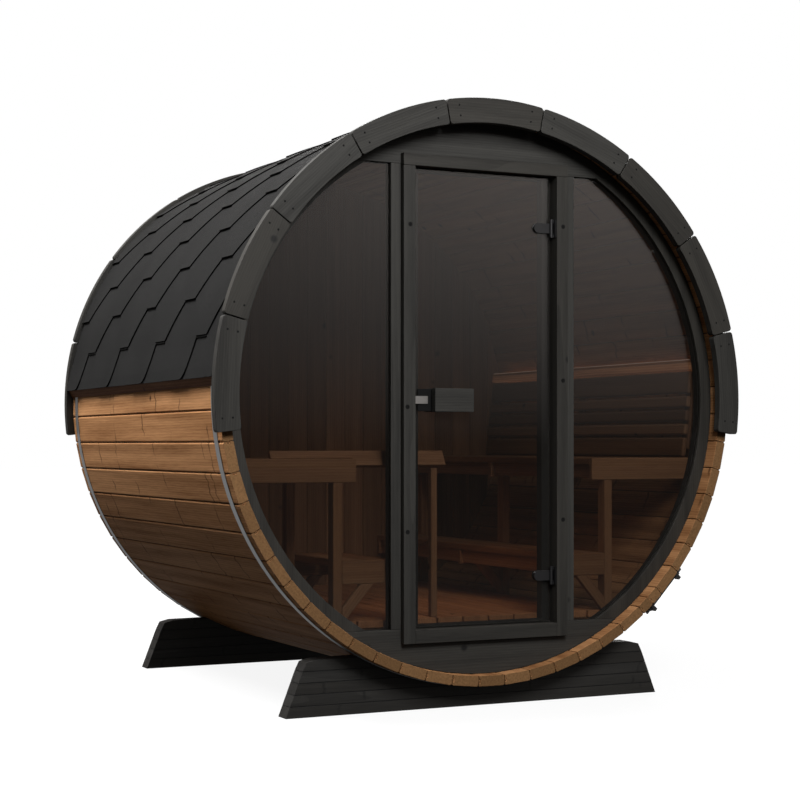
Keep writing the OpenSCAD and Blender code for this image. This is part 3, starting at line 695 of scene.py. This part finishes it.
edges_x = np.arange(-HALF_BOARDS, HALF_BOARDS + 1) * BOARD_W
edges_x = np.clip(edges_x, -REAR_R + RIM_INSET, REAR_R - RIM_INSET)
board_edges = zip(edges_x[:-1] + BOARD_GAP, edges_x[1:] - BOARD_GAP)
board_bars = [rear_board(a, b) for a, b in board_edges if b - a > LEAST_BOARD]
rear_boards = joined_mesh("rear_wall_boards", board_bars)
store_grain(rear_boards, 71)
inner_wood = wood_finish("heat_treated_lining", early=(0.34, 0.172, 0.082), late=(0.185, 0.080, 0.034),
                         knot=(0.05, 0.022, 0.011), ring_depth=0.48, tone_range=(0.62, 1.12),
                         roughness=0.58, knot_share=0.8)
link_piece("rear_wall_boards", rear_boards, inner_wood, "sauna", ["rear_wall"])
rear_boards.materials.append(black_stain)
facing_out = np.empty(len(rear_boards.polygons) * 3)
rear_boards.polygons.foreach_get("normal", facing_out)
weather_side = facing_out.reshape(-1, 3)[:, 1] > WEATHER_FACING
rear_boards.polygons.foreach_set("material_index", weather_side.astype(np.int32))

# The floor, the benches and their fittings: planed heat-treated boards, screwed to bearers and frames.
# The backrest's slats are well rounded. The board above it has a brighter colour than the other wood and a
# glow painted along its upper edge, both painted light for the lamp behind it.
FITTINGS = ("floor_boards", "floor_bearers", "bench_seat_left", "bench_seat_right", "bench_frame_left",
            "bench_frame_right", "guard_rail", "step_left", "step_right", "backrest", "light_valance")
FITTING_EASING = 0.003
SLAT_EASING = 0.008
BROWN_KNOT = (0.06, 0.026, 0.012)
PAINTED_GLOW_DEPTHS = (0.016, 0.008)
PAINTED_GLOW_STRENGTHS = (0.20, 0.01)
bench_wood = wood_finish("heat_treated_bench", early=(0.44, 0.224, 0.106), late=(0.245, 0.106, 0.045),
                         knot=BROWN_KNOT, ring_depth=0.40, tone_range=(0.85, 1.1), roughness=0.58,
                         knot_share=0.6)
floor_wood = wood_finish("heat_treated_floor", early=(0.72, 0.33, 0.140), late=(0.38, 0.153, 0.058),
                         knot=BROWN_KNOT, ring_depth=0.40, tone_range=(0.8, 1.1), roughness=0.6,
                         knot_share=0.6)
# Painted light: this board is brighter than the bench wood and glows along its upper edge, standing in for
# the light of the lamp behind it.
valance_painted_light_wood = wood_finish("board_with_painted_lamp_light", early=(0.72, 0.33, 0.155), late=(0.24, 0.092, 0.038),
                           knot=BROWN_KNOT, ring_depth=0.50, tone_range=(0.9, 1.1), roughness=0.6)
valance_low, valance_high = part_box("light_valance")
valance_tree = valance_painted_light_wood.node_tree
valance_shader = valance_tree.nodes["Principled BSDF"]
valance_rise = part_of(valance_tree, object_place(valance_tree), "Z")
painted_glow_heights = [valance_high.z - depth for depth in PAINTED_GLOW_DEPTHS]
valance_painted_glow = ranged(valance_tree, valance_rise, painted_glow_heights, PAINTED_GLOW_STRENGTHS)
valance_colour = valance_shader.inputs["Base Color"].links[0].from_socket
set_inputs(valance_tree, valance_shader, {"Emission Color": valance_colour,
                                          "Emission Strength": valance_painted_glow})
OTHER_WOOD = {"floor_boards": floor_wood, "light_valance": valance_painted_light_wood, "backrest": inner_wood}
OTHER_EASING = {"backrest": SLAT_EASING}
for number, name in enumerate(FITTINGS):
    fitting_wood = OTHER_WOOD.get(name, bench_wood)
    eased_boards(name, fitting_wood, OTHER_EASING.get(name, FITTING_EASING), 81 + number)

# The lamp: a slim opal strip with a warm light behind the board above the backrest, and a fine glowing bar
# along the board's upper edge, painted light for the line the lamp throws there. Both are clipped to the
# board, and a soft glow from a hidden lamp fills the cabin.
LAMP_STRENGTH = 1.6
GLOW_POWER = 0.62
GLOW_COLOUR = (1.0, 0.62, 0.38)
LINE_STRENGTH = 0.24
LINE_W = 0.005
LINE_H = 0.002
LINE_INSET = 0.0035
LINE_SUNK = 0.001
LINE_END = 0.01
lamp_opal, lamp_tree, lamp_shader = new_finish("lamp_opal")
lamp_wave = {"Vector": object_place(lamp_tree), "Scale": 9.0}
lamp_spots = add_node(lamp_tree, "ShaderNodeTexWave", lamp_wave, bands_direction="Y").outputs["Fac"]
lamp_tone = blended(lamp_tree, lamp_spots, (0.80, 0.48, 0.27), (1.0, 0.66, 0.40))
set_inputs(lamp_tree, lamp_shader, {"Base Color": lamp_tone, "Emission Color": lamp_tone,
                                    "Emission Strength": LAMP_STRENGTH})
refinish("light_strip", lamp_opal)
cabin_glow = soft_lamp("cabin_glow", place=(0.02, -0.40, 0.82), aim=(0.02, -0.40, 0.3), side=0.5,
                       power=GLOW_POWER, colour=GLOW_COLOUR)
cabin_glow.visible_camera = False
cabin_glow.visible_glossy = False
# A thin glowing bar that is no lamp: painted light for the line of lamp light along the board's upper edge.
line_x = valance_low.x + LINE_INSET + LINE_W * np.array([0, 1, 1, 0])
line_z = valance_high.z - LINE_SUNK + LINE_H * np.array([0, 0, 1, 1])
line_ends = (valance_low.y + LINE_END, valance_high.y - LINE_END)
line_rings = np.stack([np.stack([line_x, np.full(4, y), line_z], -1) for y in line_ends])
painted_line_finish, line_tree, line_shader = new_finish("painted_light_line_glow")
line_noise = speckle(line_tree, object_place(line_tree), 30.0)
line_tone = blended(line_tree, line_noise, (0.85, 0.50, 0.31), (1.0, 0.64, 0.42))
set_inputs(line_tree, line_shader, {"Emission Color": line_tone, "Emission Strength": LINE_STRENGTH})
link_piece("painted_light_line", joined_mesh("painted_light_line", [lofted(line_rings)]), painted_line_finish, "sauna", [])

# The door's furniture: satin black clamp hinges, a dark-stained block handle on both sides of the leaf, and
# a brushed steel strip at the closing edge. The blocks stand off the glass, the outer one over a black
# backing plate.
HANDLE_EASING = 0.0025
PLATE_MIDDLE = -0.7945
PLATE_HALF = 0.003
black_metal = mottled_finish("satin_black_metal", dark=(0.008, 0.008, 0.009), light=(0.017, 0.017, 0.018),
                             scale=240.0, detail=3.0, roughness=0.42, metallic=0.3)
refinish("hinge_leaves", black_metal)
refinish("door_hinge_clamps", black_metal)
handle = eased_boards("door_handle", black_stain, HANDLE_EASING, 101, body="door").data
handle.materials.append(dull_black_and_hole_shade)
handle_faces = np.empty(len(handle.polygons) * 3)
handle.polygons.foreach_get("center", handle_faces)
on_plate = np.abs(handle_faces.reshape(-1, 3)[:, 1] - PLATE_MIDDLE) < PLATE_HALF
handle.polygons.foreach_set("material_index", on_plate.astype(np.int32))
brushed_latch = mottled_finish("brushed_latch", dark=(0.24, 0.236, 0.23), light=(0.50, 0.49, 0.48),
                               scale=1.0, detail=3.0, roughness=0.34, metallic=1.0, stretch=(20, 20, 1600))
refinish("latch_plate", brushed_latch)
